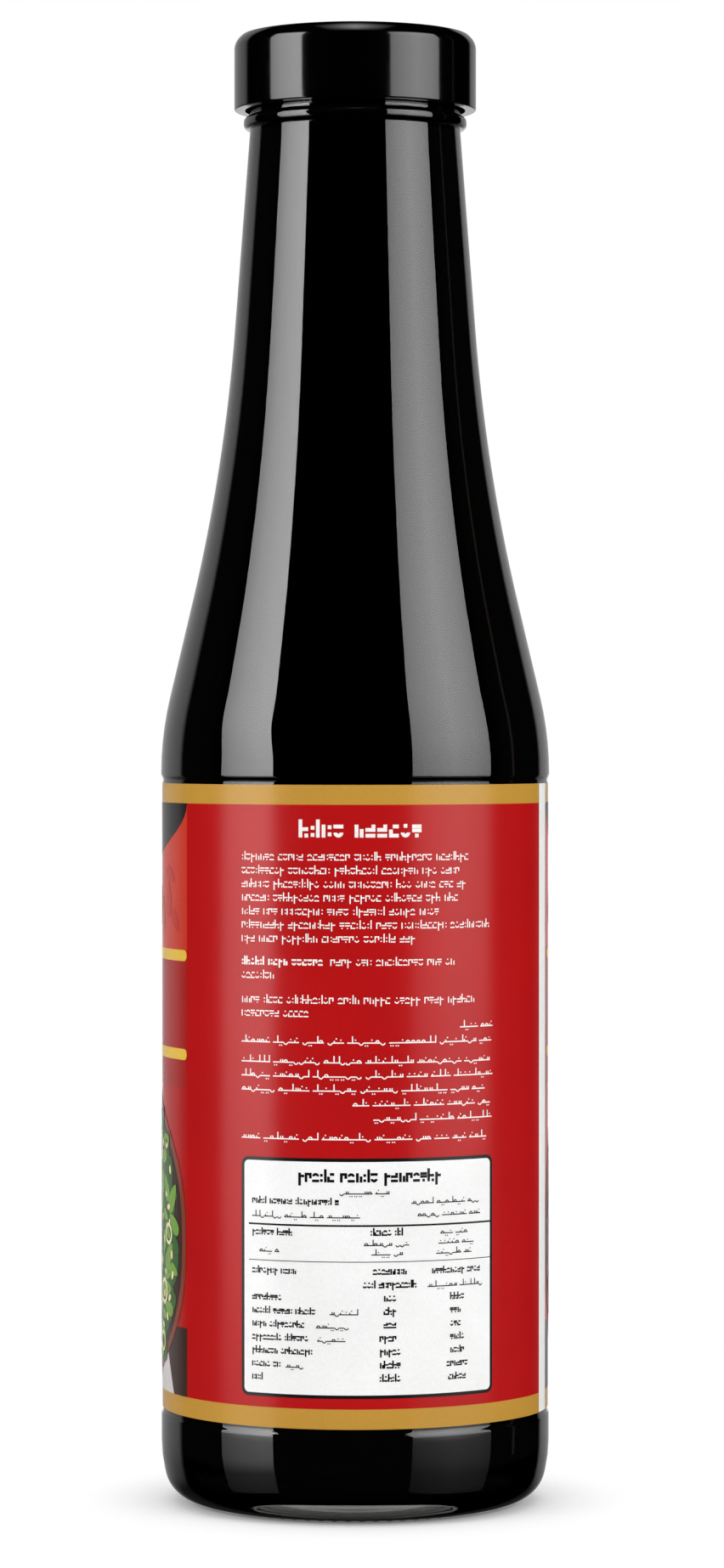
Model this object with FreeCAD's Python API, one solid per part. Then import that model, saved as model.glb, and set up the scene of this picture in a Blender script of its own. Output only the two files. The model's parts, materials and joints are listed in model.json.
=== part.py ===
import FreeCAD, Part
import math
import os

# Round glass sauce bottle, 38 mm screw closure, filled, capped and wrapped with one label.
# Millimetres. +Z is the bottle's axis, z = 0 is the surface it stands on, and the side with
# the fine print faces -Y. Angles round the bottle are measured from -Y towards +X.

# ---- glass body ----
body_diameter = 63.8
bottle_height = 238.9
wall = 2.6

heel_height = 7.8            # where the straight side would meet the heel's slope
heel_sweep_radius = 23.0     # long soft curve from the side into the heel
heel_radius = 5.8            # tighter curve from the heel on to the base
heel_tuck = 1.66             # how far the base corner lies inside the straight side

bearing_inner_radius = 21.5  # the base stands on the ring outside this radius
push_up_height = 3.2         # the middle of the base is pushed up this far
push_up_flat_radius = 12.0
push_up_blend_radius = 50.0
bearing_inner_blend = 2.0

floor_thickness = 2.7        # glass between the base and the sauce
floor_corner_radius = 6.2

# ---- knurled ring under the base: short radial ribs that keep the glass off the surface ----
knurl_height = 0.25
knurl_pitch = 2.1
knurl_end_gap = 0.15         # plain ring left at each end of a rib
knurl_root_width = 1.2
knurl_crest_width = 0.5

# ---- label panel, a shallow recess that the label lies in ----
panel_bottom = 14.5
panel_depth = 0.3
panel_run = 0.6              # height of the sloping step at each end of the recess
panel_blend = 1.2
label_height = 102.4
label_margin = 0.6           # bare glass between the label's edge and the step
label_thickness = 0.1

# ---- where the two ends of the label lap ----
seam_angle = 70.0
lap_width = 6.0

# ---- shoulder and neck ----
shoulder_land = 0.5          # straight glass between the recess and the shoulder's curve
shoulder_angle = 13.3        # the long slope, from the vertical
shoulder_radius = 53.0
neck_root_radius = 21.5      # where the slope and the neck's taper would meet
neck_sweep_radius = 290.0

# ---- finish: transfer bead, plain ring and lip ----
finish_height = 12.5         # from the middle of the bead up to the lip
finish_radius = 17.25
finish_wall = 2.55
bore_sweep_radius = 30.0     # inside, where the neck's taper runs into the straight bore
bead_height = 2.1
bead_stand = 1.05            # how far the bead stands out from the finish
bead_round = 0.85
bead_blend = 0.2
lip_outer_round = 0.9
lip_inner_round = 1.1

# ---- sauce ----
fill_above_rim = 2.0         # the sauce's level above the cap's lower rim

# ---- cap ----
cap_clearance = 0.85         # room for the thread between the cap and the finish
cap_wall = 1.75
cap_top_thickness = 1.9      # top plate with its liner
cap_rim_gap = 1.05           # plain ring left in view between the bead and the cap
cap_chamfer = 1.25
cap_top_round = 0.8          # where the chamfer meets the top
cap_side_round = 1.2         # where the chamfer meets the side
cap_rim_round = 0.25

# ---- worked out from the sizes above ----
body_radius = body_diameter / 2
panel_radius = body_radius - panel_depth
label_bottom = panel_bottom + panel_run + label_margin
label_top = label_bottom + label_height
panel_top = label_top + label_margin + panel_run

shoulder_slope = math.tan(math.radians(shoulder_angle))
shoulder_start = panel_top + shoulder_land
shoulder_corner = shoulder_start + shoulder_radius * math.tan(math.radians(shoulder_angle) / 2)
neck_root = shoulder_corner + (body_radius - neck_root_radius) / shoulder_slope
bead_middle = bottle_height - finish_height
bead_bottom = bead_middle - bead_height / 2
bead_top = bead_middle + bead_height / 2
bead_radius = finish_radius + bead_stand
bore_radius = finish_radius - finish_wall
cap_rim = bead_top + cap_rim_gap

base_corner_radius = body_radius - heel_tuck
heel_lean = math.atan(heel_tuck / (heel_height - knurl_height))
bearing_outer_radius = base_corner_radius - heel_radius * math.tan((math.pi / 2 - heel_lean) / 2)
floor_level = knurl_height + floor_thickness
knurl_flank = (knurl_root_width - knurl_crest_width) / 2

Z_AXIS = FreeCAD.Vector(0, 0, 1)
X_AXIS = FreeCAD.Vector(1, 0, 0)
ORIGIN = FreeCAD.Vector(0, 0, 0)
SHORTEST_EDGE = 1e-6


def profile_point(radius, height):
    """A point of a turned profile, drawn in the XZ plane."""
    return FreeCAD.Vector(radius, 0, height)


def rounding_reaches(points, roundings, half_angles):
    """How far along its two sides each corner's rounding reaches.

    Where two roundings don't fit on the side between them, both shrink to share it, so the
    outline stays whole when a size changes.
    """
    count = len(points)
    reaches = [rounding / math.tan(half) for rounding, half in zip(roundings, half_angles)]
    shares = [1.0] * count
    for index in range(count):
        following = (index + 1) % count
        side = (points[following] - points[index]).Length
        wanted = reaches[index] + reaches[following]
        if wanted > side:
            shares[index] = min(shares[index], side / wanted)
            shares[following] = min(shares[following], side / wanted)
    return [reach * share for reach, share in zip(reaches, shares)]


def rounded_outline(corners):
    """Closed wire through (radius, height, rounding) corners, each rounded by a tangent arc."""
    points = [profile_point(radius, height) for radius, height, rounding in corners]
    roundings = [rounding for radius, height, rounding in corners]
    count = len(points)
    to_previous = [points[index - 1] - points[index] for index in range(count)]
    to_next = [points[(index + 1) % count] - points[index] for index in range(count)]
    half_angles = [back.getAngle(ahead) / 2 for back, ahead in zip(to_previous, to_next)]
    reaches = rounding_reaches(points, roundings, half_angles)

    edges = []
    for index in range(count):
        to_previous[index].normalize()
        to_next[index].normalize()
        end = points[index] + to_next[index] * reaches[index]
        if reaches[index] > 0:
            start = points[index] + to_previous[index] * reaches[index]
            inwards = to_previous[index] + to_next[index]
            inwards.normalize()
            arc_radius = reaches[index] * math.tan(half_angles[index])
            to_arc = arc_radius / math.sin(half_angles[index]) - arc_radius
            edges.append(Part.Arc(start, points[index] + inwards * to_arc, end).toShape())
        following = (index + 1) % count
        next_start = points[following] - to_next[index] * reaches[following]
        if (next_start - end).Length > SHORTEST_EDGE:
            edges.append(Part.LineSegment(end, next_start).toShape())
    return Part.Wire(edges)


def turned(corners):
    """Solid of revolution about the bottle's axis."""
    return Part.Face(rounded_outline(corners)).revolve(ORIGIN, Z_AXIS, 360)


def base_corners():
    """Underside and heel, from the middle of the push-up out to the straight side."""
    return [
        (0, knurl_height + push_up_height, 0),
        (push_up_flat_radius, knurl_height + push_up_height, push_up_blend_radius),
        (bearing_inner_radius, knurl_height, bearing_inner_blend),
        (base_corner_radius, knurl_height, heel_radius),
        (body_radius, heel_height, heel_sweep_radius),
    ]


def panel_corners():
    """The recess round the side, with a soft sloping step at each end."""
    return [
        (body_radius, panel_bottom, panel_blend),
        (panel_radius, panel_bottom + panel_run, panel_blend),
        (panel_radius, panel_top - panel_run, panel_blend),
        (body_radius, panel_top, panel_blend),
    ]


def shoulder_and_neck_corners():
    """Tangent curves: convex shoulder, straight slope, long concave sweep, tapering neck."""
    return [
        (body_radius, shoulder_corner, shoulder_radius),
        (neck_root_radius, neck_root, neck_sweep_radius),
    ]


def finish_corners():
    """Transfer bead, plain ring and lip. The cap hides all above its own lower rim."""
    return [
        (finish_radius, bead_bottom, bead_blend),
        (bead_radius, bead_bottom, bead_round),
        (bead_radius, bead_top, bead_round),
        (finish_radius, bead_top, bead_blend),
        (finish_radius, bottle_height, lip_outer_round),
        (bore_radius, bottle_height, lip_inner_round),
    ]


def cavity_corners():
    """Inside of the glass below the lip, from the top of the neck down to the axis."""
    return [
        (bore_radius, bead_bottom - bead_height / 2, bore_sweep_radius),
        (neck_root_radius - wall, neck_root, neck_sweep_radius + wall),
        (body_radius - wall, shoulder_corner, shoulder_radius - wall),
        (body_radius - wall, floor_level, floor_corner_radius),
        (push_up_flat_radius, floor_level + push_up_height, push_up_blend_radius),
        (0, floor_level + push_up_height, 0),
    ]


def knurl_rib():
    """One rib with sloping flanks, its crest on z = 0 and its root sunk into the glass."""
    sunk = 2 * knurl_height
    spread = 2 * knurl_flank
    inner = bearing_inner_radius + knurl_end_gap + knurl_flank
    outer = bearing_outer_radius - knurl_end_gap - knurl_flank
    half_crest = knurl_crest_width / 2
    rib = Part.makeWedge(
        inner, 0, -half_crest,
        -half_crest - spread, inner - spread,
        outer, sunk, half_crest,
        half_crest + spread, outer + spread)
    rib.rotate(ORIGIN, X_AXIS, 90)
    return rib


def knurl_ring():
    """The ribs, evenly spaced round the base."""
    middle_radius = (bearing_inner_radius + bearing_outer_radius) / 2
    count = round(2 * math.pi * middle_radius / knurl_pitch)
    ribs = []
    for index in range(count):
        rib = knurl_rib()
        rib.rotate(ORIGIN, Z_AXIS, 360 * index / count)
        ribs.append(rib)
    return ribs


def make_bottle():
    outside = base_corners() + panel_corners() + shoulder_and_neck_corners() + finish_corners()
    glass = turned(outside + cavity_corners())
    return glass.fuse(knurl_ring())


def make_sauce():
    """The sauce fills the glass up to its level."""
    lip = (bore_radius, bottle_height, 0)
    axis_top = (0, bottle_height, 0)
    cavity = turned([axis_top, lip] + cavity_corners())
    level = cap_rim + fill_above_rim
    return cavity.common(Part.makeCylinder(body_radius, level))


def make_cap():
    """A plain shell, seated by its top plate on the lip of the glass."""
    inner = finish_radius + cap_clearance
    outer = inner + cap_wall
    top = bottle_height + cap_top_thickness
    return turned([
        (0, top, 0),
        (outer - cap_chamfer, top, cap_top_round),
        (outer, top - cap_chamfer, cap_side_round),
        (outer, cap_rim, cap_rim_round),
        (inner, cap_rim, 0),
        (inner, bottle_height, 0),
        (0, bottle_height, 0),
    ])


def label_band(inner_radius, start_angle, sweep):
    """One thickness of label over part of the turn. A turn from zero starts at +X, which
    stands 90 degrees on from -Y."""
    outline = Part.makePolygon([
        profile_point(inner_radius, label_bottom),
        profile_point(inner_radius + label_thickness, label_bottom),
        profile_point(inner_radius + label_thickness, label_top),
        profile_point(inner_radius, label_top),
        profile_point(inner_radius, label_bottom),
    ])
    band = Part.Face(outline).revolve(ORIGIN, Z_AXIS, sweep)
    band.rotate(ORIGIN, Z_AXIS, start_angle - 90)
    return band


def make_label():
    """One turn of film on the panel, whose printed end laps over its bare end."""
    outer_layer = panel_radius + label_thickness
    lap_angle = math.degrees(lap_width / outer_layer)
    turn = label_band(panel_radius, seam_angle, 360)
    lap = label_band(outer_layer, seam_angle - lap_angle, lap_angle)
    return turn.fuse(lap)


os.makedirs("parts", exist_ok=True)
nodes = {
    "bottle": make_bottle(),
    "sauce": make_sauce(),
    "cap": make_cap(),
    "label": make_label(),
}
for name, shape in nodes.items():
    shape.exportStep(f"parts/{name}.step")
    box = shape.optimalBoundingBox()
    print(f"{name}: {len(shape.Solids)} solid, {shape.Volume / 1000:.1f} cm3, "
          f"valid {shape.isValid()}, z {box.ZMin:.2f} to {box.ZMax:.2f}, "
          f"radius {box.XMax:.2f}")
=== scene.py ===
import json
import math
import random

import bmesh
import bpy
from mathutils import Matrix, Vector

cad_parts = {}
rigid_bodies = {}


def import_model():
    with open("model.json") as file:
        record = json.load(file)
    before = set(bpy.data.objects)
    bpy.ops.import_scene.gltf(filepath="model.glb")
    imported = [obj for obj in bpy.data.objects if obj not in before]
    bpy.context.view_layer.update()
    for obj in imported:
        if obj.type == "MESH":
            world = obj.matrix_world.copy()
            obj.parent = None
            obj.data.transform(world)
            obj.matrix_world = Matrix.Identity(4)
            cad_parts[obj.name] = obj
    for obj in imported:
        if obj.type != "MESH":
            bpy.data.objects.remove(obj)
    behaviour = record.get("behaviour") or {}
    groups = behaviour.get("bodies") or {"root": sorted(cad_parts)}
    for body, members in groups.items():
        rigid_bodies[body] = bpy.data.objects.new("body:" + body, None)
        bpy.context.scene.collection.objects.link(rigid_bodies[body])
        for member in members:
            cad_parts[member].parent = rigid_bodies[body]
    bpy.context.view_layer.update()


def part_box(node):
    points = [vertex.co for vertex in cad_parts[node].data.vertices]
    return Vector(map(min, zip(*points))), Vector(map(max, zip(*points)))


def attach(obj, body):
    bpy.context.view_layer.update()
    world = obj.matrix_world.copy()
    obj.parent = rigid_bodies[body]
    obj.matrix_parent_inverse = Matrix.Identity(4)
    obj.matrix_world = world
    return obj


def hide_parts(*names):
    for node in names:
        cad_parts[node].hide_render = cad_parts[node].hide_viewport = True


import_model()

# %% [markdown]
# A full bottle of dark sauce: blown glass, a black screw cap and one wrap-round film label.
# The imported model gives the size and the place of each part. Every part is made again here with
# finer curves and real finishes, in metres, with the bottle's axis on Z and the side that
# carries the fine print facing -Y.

MM = 0.001


def reach_of(part):
    """Radius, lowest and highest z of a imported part, in millimetres."""
    low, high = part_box(part)
    radius, lowest, highest = [round(value / MM, 2) for value in (high[0], low[2], high[2])]
    print(part, "has radius", radius, "and runs from z", lowest, "to", highest, "mm")
    return radius, lowest, highest


BODY, _, LIP = reach_of("bottle")
CAP_RADIUS, CAP_RIM, CAP_TOP = reach_of("cap")
FILM_RADIUS, LABEL_LOW, LABEL_HIGH = reach_of("label")
LEVEL = reach_of("sauce")[2]


# %% [markdown]
# A colour is written as it looks on a screen and turned linear here. One function adds a node
# with its settings and links, whatever its kind, and another feeds a node that is there already.
# A finish starts from the Principled shader and the piece's own coordinates, which carry every
# pattern.

# %% Colours, nodes and finishes
def linear(hex_colour):
    channels = []
    for place in (1, 3, 5):
        value = int(hex_colour[place:place + 2], 16) / 255
        channels.append(value / 12.92 if value <= 0.04045 else ((value + 0.055) / 1.055) ** 2.4)
    return (*channels, 1.0)


MATH, RANGE, MIX, NOISE = ["ShaderNode" + kind for kind in ("Math", "MapRange", "Mix", "TexNoise")]
SMOOTH = {"interpolation_type": "SMOOTHSTEP"}
NUMBERS = {"data_type": "FLOAT"}


def feed(made, inputs):
    """Link or set a node's inputs. A node given as a value lends its first output."""
    if isinstance(inputs, list):
        inputs = dict(enumerate(inputs))
    for key, value in inputs.items():
        if isinstance(value, bpy.types.Node):
            value = value.outputs[0]
        if isinstance(value, bpy.types.NodeSocket):
            made.id_data.links.new(value, made.inputs[key])
        else:
            made.inputs[key].default_value = value


def node(tree, kind, settings=None, inputs=None):
    """Add a node with its settings and links. A plain word is its operation."""
    made = tree.nodes.new(kind)
    if isinstance(settings, str):
        settings = {"operation": settings}
    for key, value in (settings or {}).items():
        setattr(made, key, value)
    feed(made, inputs or {})
    return made


def finish_of(name, sockets):
    """A new material with its node tree, its shader and the piece's own coordinates."""
    material = bpy.data.materials.new(name)
    material.use_nodes = True
    tree = material.node_tree
    shader = tree.nodes["Principled BSDF"]
    feed(shader, sockets)
    return material, tree, shader, node(tree, "ShaderNodeTexCoord").outputs["Object"]


# %% [markdown]
# The glass, the sauce and the cap are all round, so each is turned on a lathe: an outline of
# corners, each softened by a tangent arc, swept once about the axis. The alternative, a
# subdivided cylinder pushed about by hand, would never give the clean running highlights that
# turned glass has. Long straights are cut into short steps, so the shading stays true.

# %% The lathe
def rounding_reaches(points, corners, halves):
    """How far each rounding runs along its sides. Two that don't fit on one side share it."""
    reaches = [corner[2] / math.tan(half) for corner, half in zip(corners, halves)]
    shares = [1.0] * len(points)
    for index, point in enumerate(points):
        after = (index + 1) % len(points)
        side = (points[after] - point).length
        wanted = reaches[index] + reaches[after]
        if wanted > side:
            shares[index] = min(shares[index], side / wanted)
            shares[after] = min(shares[after], side / wanted)
    return [reach * share for reach, share in zip(reaches, shares)]


def softened(corners, longest=3.0, turn_step=7.0):
    """Points of a closed outline through (radius, height, rounding) corners, in millimetres."""
    points = [Vector((radius, height)) for radius, height, rounding in corners]
    count = len(points)
    backs = [points[index - 1] - points[index] for index in range(count)]
    aheads = [points[(index + 1) % count] - points[index] for index in range(count)]
    halves = [back.angle(ahead) / 2 for back, ahead in zip(backs, aheads)]
    reaches = rounding_reaches(points, corners, halves)
    starts = [point + back.normalized() * reach for point, back, reach in zip(points, backs, reaches)]
    ends = [point + ahead.normalized() * reach for point, ahead, reach in zip(points, aheads, reaches)]
    outline = []
    for index in range(count):
        start, end, half = starts[index], ends[index], halves[index]
        outline.append(start)
        if reaches[index] > 0:
            curve = reaches[index] * math.tan(half)
            inwards = (backs[index].normalized() + aheads[index].normalized()).normalized()
            centre = points[index] + inwards * (curve / math.sin(half))
            sweep = math.pi - 2 * half
            steps = max(2, math.ceil(math.degrees(sweep) / turn_step), math.ceil(sweep * curve / longest))
            for step in range(1, steps):
                before = math.sin((1 - step / steps) * sweep) / math.sin(sweep)
                after = math.sin(step / steps * sweep) / math.sin(sweep)
                outline.append(centre + (start - centre) * before + (end - centre) * after)
            outline.append(end)
        gap = starts[(index + 1) % count] - end
        on_axis = end.x < 1e-6 and starts[(index + 1) % count].x < 1e-6
        steps = 1 if on_axis else max(1, math.ceil(gap.length / longest))
        outline.extend(end + gap * (step / steps) for step in range(1, steps))
    return outline


SHARP = 28.0  # degrees: a steeper edge is drawn as a crease


def staged(name, data):
    """Put a mesh, a lamp or a camera on the stage as an object."""
    made = bpy.data.objects.new(name, data)
    bpy.context.collection.objects.link(made)
    return made


def piece_of(name, shell):
    """Make a finished bmesh an object."""
    mesh = bpy.data.meshes.new(name)
    shell.to_mesh(mesh)
    shell.free()
    return staged(name, mesh)


def shaded(piece, crease=None):
    piece.data.polygons.foreach_set("use_smooth", [True] * len(piece.data.polygons))
    if crease is not None:
        piece.data.set_sharp_from_angle(angle=math.radians(crease))


def turned(name, outline, segments):
    """A closed solid of revolution with single points where the outline meets the axis."""
    shell = bmesh.new()
    rings = []
    for point in outline:
        if point.x < 1e-6:
            rings.append([shell.verts.new((0, 0, point.y * MM))])
            continue
        ring = []
        for count in range(segments):
            angle = 2 * math.pi * (count + 0.5) / segments
            ring.append(shell.verts.new((point.x * MM * math.sin(angle),
                                         -point.x * MM * math.cos(angle), point.y * MM)))
        rings.append(ring)
    for index, ring in enumerate(rings):
        other = rings[(index + 1) % len(rings)]
        if len(ring) == 1 and len(other) == 1:
            continue
        for count in range(segments):
            after = (count + 1) % segments
            corners = [ring[count % len(ring)], ring[after % len(ring)],
                       other[after % len(other)], other[count % len(other)]]
            corners = [c for place, c in enumerate(corners) if c not in corners[:place]]
            shell.faces.new(corners)
    bmesh.ops.recalc_face_normals(shell, faces=shell.faces[:])
    piece = piece_of(name, shell)
    shaded(piece, SHARP)
    print(name, "has", len(piece.data.polygons), "faces")
    return piece


# %% [markdown]
# What repeats, or follows a surface, is made by Geometry Nodes. A tree is built here with named
# inputs. It is evaluated once, and its result becomes a plain mesh, so nothing live stays on
# the finished piece.

# %% Trees of Geometry Nodes
def geometry_tree(name, inputs):
    tree = bpy.data.node_groups.new(name, "GeometryNodeTree")
    tree.interface.new_socket("Geometry", in_out="INPUT", socket_type="NodeSocketGeometry")
    for label, kind, *value in (*inputs, ("Material", "Material")):
        socket = tree.interface.new_socket(label, in_out="INPUT", socket_type="NodeSocket" + kind)
        if value:
            socket.default_value = value[0]
    tree.interface.new_socket("Geometry", in_out="OUTPUT", socket_type="NodeSocketGeometry")
    return tree, tree.nodes.new("NodeGroupInput"), tree.nodes.new("NodeGroupOutput")


def end_tree(tree, given, result, geometry):
    """A tree ends with its instances made real and its material set."""
    whole = node(tree, "GeometryNodeRealizeInstances", inputs=[geometry])
    dressed = node(tree, "GeometryNodeSetMaterial",
                   inputs={"Geometry": whole, "Material": given.outputs["Material"]})
    feed(result, [dressed])


def made_by(piece, tree, values):
    modifier = piece.modifiers.new(tree.name, "NODES")
    modifier.node_group = tree
    for item in tree.interface.items_tree:
        if item.in_out == "INPUT" and item.name in values:
            modifier[item.identifier] = values[item.name]
    piece.update_tag()
    evaluated = piece.evaluated_get(bpy.context.evaluated_depsgraph_get())
    mesh = bpy.data.meshes.new_from_object(evaluated)
    mesh.name = piece.name
    piece.modifiers.clear()
    piece.data = mesh
    print(piece.name, "was made by", tree.name, "with", len(mesh.polygons), "faces")
    return piece


# %% [markdown]
# The bottle's glass. From the base up: a pushed-up middle, a ring that it stands on, a soft
# heel, a shallow recess that keeps the label from rubbing, a shoulder that runs in one sweep
# into a slender neck, the bead below the cap, and the lip. One closed skin holds the outside
# and the inside, as the wall of real glass does, so light bends at both faces.

# %% Turning the glass
WALL = 2.6
FILM = 0.1  # the label's thickness
RIB_HEIGHT = 0.25  # the glass proper starts this far up
BEARING = 21.5  # the bottle stands on what lies outside this
RING_INNER, RING_OUTER = 21.65, 25.4  # the ribs lie between these radii
RING_MIDDLE, RUN_OUT = 23.6, 0.45  # each rib slopes off over its last run-out
HEEL, HEEL_TUCK, HEEL_ROUND, HEEL_SWEEP = 7.8, 1.66, 5.8, 23
PUSH_UP, PUSH_UP_FLAT, PUSH_UP_SWEEP = 3.2, 12, 50
STEP, STEP_ROUND = 0.6, 1.2  # each sloping step of the recess
PANEL = FILM_RADIUS - FILM
PANEL_LOW, PANEL_HIGH = LABEL_LOW - STEP, LABEL_HIGH + STEP
SHOULDER, SHOULDER_SWEEP = 125.98, 53
NECK_ROOT, NECK_ROOT_RADIUS, NECK_SWEEP = 169.97, 21.5, 290
FINISH, BORE, BORE_SWEEP = 17.25, 14.7, 30
BEAD = LIP - 12.5
BEAD_HALF, BEAD_ROUND, BEAD_BLEND = 1.05, 0.85, 0.2  # a half round, as high as it is deep
LIP_OUTER, LIP_INNER = 0.9, 1.1
SAUCE_FLOOR, FLOOR_CORNER = 2.95, 6.2
OUTSIDE = [
    (0, RIB_HEIGHT + PUSH_UP, 0), (PUSH_UP_FLAT, RIB_HEIGHT + PUSH_UP, PUSH_UP_SWEEP),
    (BEARING, RIB_HEIGHT, 2), (RING_INNER, RIB_HEIGHT, 0), (RING_INNER + RUN_OUT, RIB_HEIGHT, 0),
    (RING_MIDDLE, RIB_HEIGHT, 0), (RING_OUTER - RUN_OUT, RIB_HEIGHT, 0), (RING_OUTER, RIB_HEIGHT, 0),
    (BODY - HEEL_TUCK, RIB_HEIGHT, HEEL_ROUND), (BODY, HEEL, HEEL_SWEEP),
    (BODY, PANEL_LOW - STEP, STEP_ROUND), (PANEL, PANEL_LOW, STEP_ROUND),
    (PANEL, PANEL_HIGH, STEP_ROUND), (BODY, PANEL_HIGH + STEP, STEP_ROUND),
    (BODY, SHOULDER, SHOULDER_SWEEP), (NECK_ROOT_RADIUS, NECK_ROOT, NECK_SWEEP),
    (FINISH, BEAD - BEAD_HALF, BEAD_BLEND), (FINISH + BEAD_HALF, BEAD - BEAD_HALF, BEAD_ROUND),
    (FINISH + BEAD_HALF, BEAD + BEAD_HALF, BEAD_ROUND), (FINISH, BEAD + BEAD_HALF, BEAD_BLEND),
    (FINISH, LIP, LIP_OUTER),
]
INSIDE = [
    (BORE, LIP, LIP_INNER), (BORE, BEAD - 2 * BEAD_HALF, BORE_SWEEP),
    (NECK_ROOT_RADIUS - WALL, NECK_ROOT, NECK_SWEEP + WALL),
    (BODY - WALL, SHOULDER, SHOULDER_SWEEP - WALL), (BODY - WALL, SAUCE_FLOOR, FLOOR_CORNER),
    (PUSH_UP_FLAT, SAUCE_FLOOR + PUSH_UP, PUSH_UP_SWEEP), (0, SAUCE_FLOOR + PUSH_UP, 0),
]
RIBS = 71
glass = turned("glass_bottle", softened(OUTSIDE + INSIDE), 4 * RIBS)

# %% [markdown]
# Under the base a ring of short radial ribs keeps the glass off the conveyor. They could be
# seventy-one small wedges, but glass is one body, so the ring's own skin is pushed down in a
# wave instead. The tree reads each point's angle and radius and lowers the crests to the floor.

# %% Knurling the bearing ring
knurl, given, result = geometry_tree("knurled bearing ring", [
    ("Rib Count", "Float"), ("Rib Height", "Float"), ("Inner Radius", "Float"),
    ("Outer Radius", "Float"), ("Run Out", "Float")])
place = node(knurl, "ShaderNodeSeparateXYZ", inputs=[node(knurl, "GeometryNodeInputPosition")])
angle = node(knurl, MATH, "ARCTAN2", [place.outputs["X"], place.outputs["Y"]])
turns = node(knurl, MATH, "MULTIPLY", [angle, given.outputs["Rib Count"]])
wave = node(knurl, MATH, "COSINE", [turns])
crest = node(knurl, RANGE, {"clamp": True}, {"Value": wave, "From Min": -0.5, "From Max": 0.5})
flat_place = node(knurl, "ShaderNodeCombineXYZ", inputs=[place.outputs["X"], place.outputs["Y"]])
radius = node(knurl, "ShaderNodeVectorMath", "LENGTH", [flat_place])
past_inner = node(knurl, MATH, "SUBTRACT", [radius.outputs["Value"], given.outputs["Inner Radius"]])
short_of_outer = node(knurl, MATH, "SUBTRACT", [given.outputs["Outer Radius"], radius.outputs["Value"]])
nearest_end = node(knurl, MATH, "MINIMUM", [past_inner, short_of_outer])
ends = node(knurl, RANGE, {"clamp": True}, {"Value": nearest_end, "From Max": given.outputs["Run Out"]})
underneath = node(knurl, MATH, "LESS_THAN", [place.outputs["Z"], 1.0 * MM])
drop = -1.0
for factor in (crest, ends, underneath, given.outputs["Rib Height"]):
    drop = node(knurl, MATH, "MULTIPLY", [factor, drop])
offset = node(knurl, "ShaderNodeCombineXYZ", inputs={2: drop})
moved = node(knurl, "GeometryNodeSetPosition",
             inputs={"Geometry": given.outputs["Geometry"], "Offset": offset})
end_tree(knurl, given, result, moved)

# %% [markdown]
# Bottle glass is clear with a faint green cast, and very slightly wavy, because it cooled in a
# mould. A broad, shallow bump gives the running highlights their living edge.

# %% Soda-lime glass
soda_glass, tree, shader, where = finish_of("soda_lime_glass", {
    "Base Color": linear("#D6D8D4"), "Roughness": 0.0, "IOR": 1.52, "Transmission Weight": 1.0})
swell = node(tree, NOISE, inputs={"Vector": where, "Scale": 1 / (22 * MM), "Detail": 1.0, "Roughness": 0.4})
wavy = node(tree, "ShaderNodeBump", inputs={"Height": swell, "Strength": 1.0, "Distance": 0.03 * MM})
feed(shader, {"Normal": wavy})

made_by(glass, knurl, {"Rib Count": float(RIBS), "Rib Height": RIB_HEIGHT * MM,
                       "Inner Radius": RING_INNER * MM, "Outer Radius": RING_OUTER * MM,
                       "Run Out": RUN_OUT * MM, "Material": soda_glass})
shaded(glass, SHARP)
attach(glass, "root")
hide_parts("bottle")

# %% [markdown]
# The sauce fills the glass to just above the cap's rim. Its skin lies a hair inside the wall of
# the glass, so there is no film of air between them, which would shine like a mirror. Where
# sauce meets glass the light goes from the denser to the thinner stuff: seen steeply the sauce
# is nearly black, and only a glancing look catches a little light on the joint. An index just
# above 1 stands for that joint of two stuffs that bend light almost alike.

# %% Filling it with sauce
REACH = 0.15  # how far the sauce's skin lies inside the wall
SAUCE_RADIUS, SAUCE_BASE = BODY - WALL + REACH, SAUCE_FLOOR - REACH
SAUCE = [
    (0, LEVEL, 0), (BORE + REACH, LEVEL, 0), (BORE + REACH, BEAD - 2 * BEAD_HALF, BORE_SWEEP),
    (NECK_ROOT_RADIUS - WALL + REACH, NECK_ROOT, NECK_SWEEP + WALL),
    (SAUCE_RADIUS, SHOULDER, SHOULDER_SWEEP - WALL), (SAUCE_RADIUS, SAUCE_BASE, FLOOR_CORNER),
    (PUSH_UP_FLAT, SAUCE_FLOOR + PUSH_UP - REACH, PUSH_UP_SWEEP), (0, SAUCE_FLOOR + PUSH_UP - REACH, 0),
]
sauce = turned("teriyaki_sauce", softened(SAUCE, longest=4.0), 192)
dark_sauce, tree, shader, where = finish_of("soy_brown_sauce", {"Roughness": 0.08, "IOR": 1.075})
settling = node(tree, NOISE, inputs={"Vector": where, "Scale": 1 / (30 * MM), "Detail": 3.0})
brown = node(tree, "ShaderNodeValToRGB", inputs={"Fac": settling})
brown.color_ramp.elements[0].color = linear("#020101")
brown.color_ramp.elements[1].color = linear("#080302")
feed(shader, {"Base Color": brown})
sauce.data.materials.append(dark_sauce)
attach(sauce, "root")
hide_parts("sauce")

# %% [markdown]
# The cap is a plain moulded shell with a bevelled top edge and no grip ribs. Gloss black
# plastic isn't a perfect mirror: its skin carries a fine ripple from the mould and a faint
# haze of handling marks, so both roughness and normal vary a little. The flat top is left dull
# by a stippled mould face, so it doesn't flash white when a soft box stands behind it.

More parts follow.
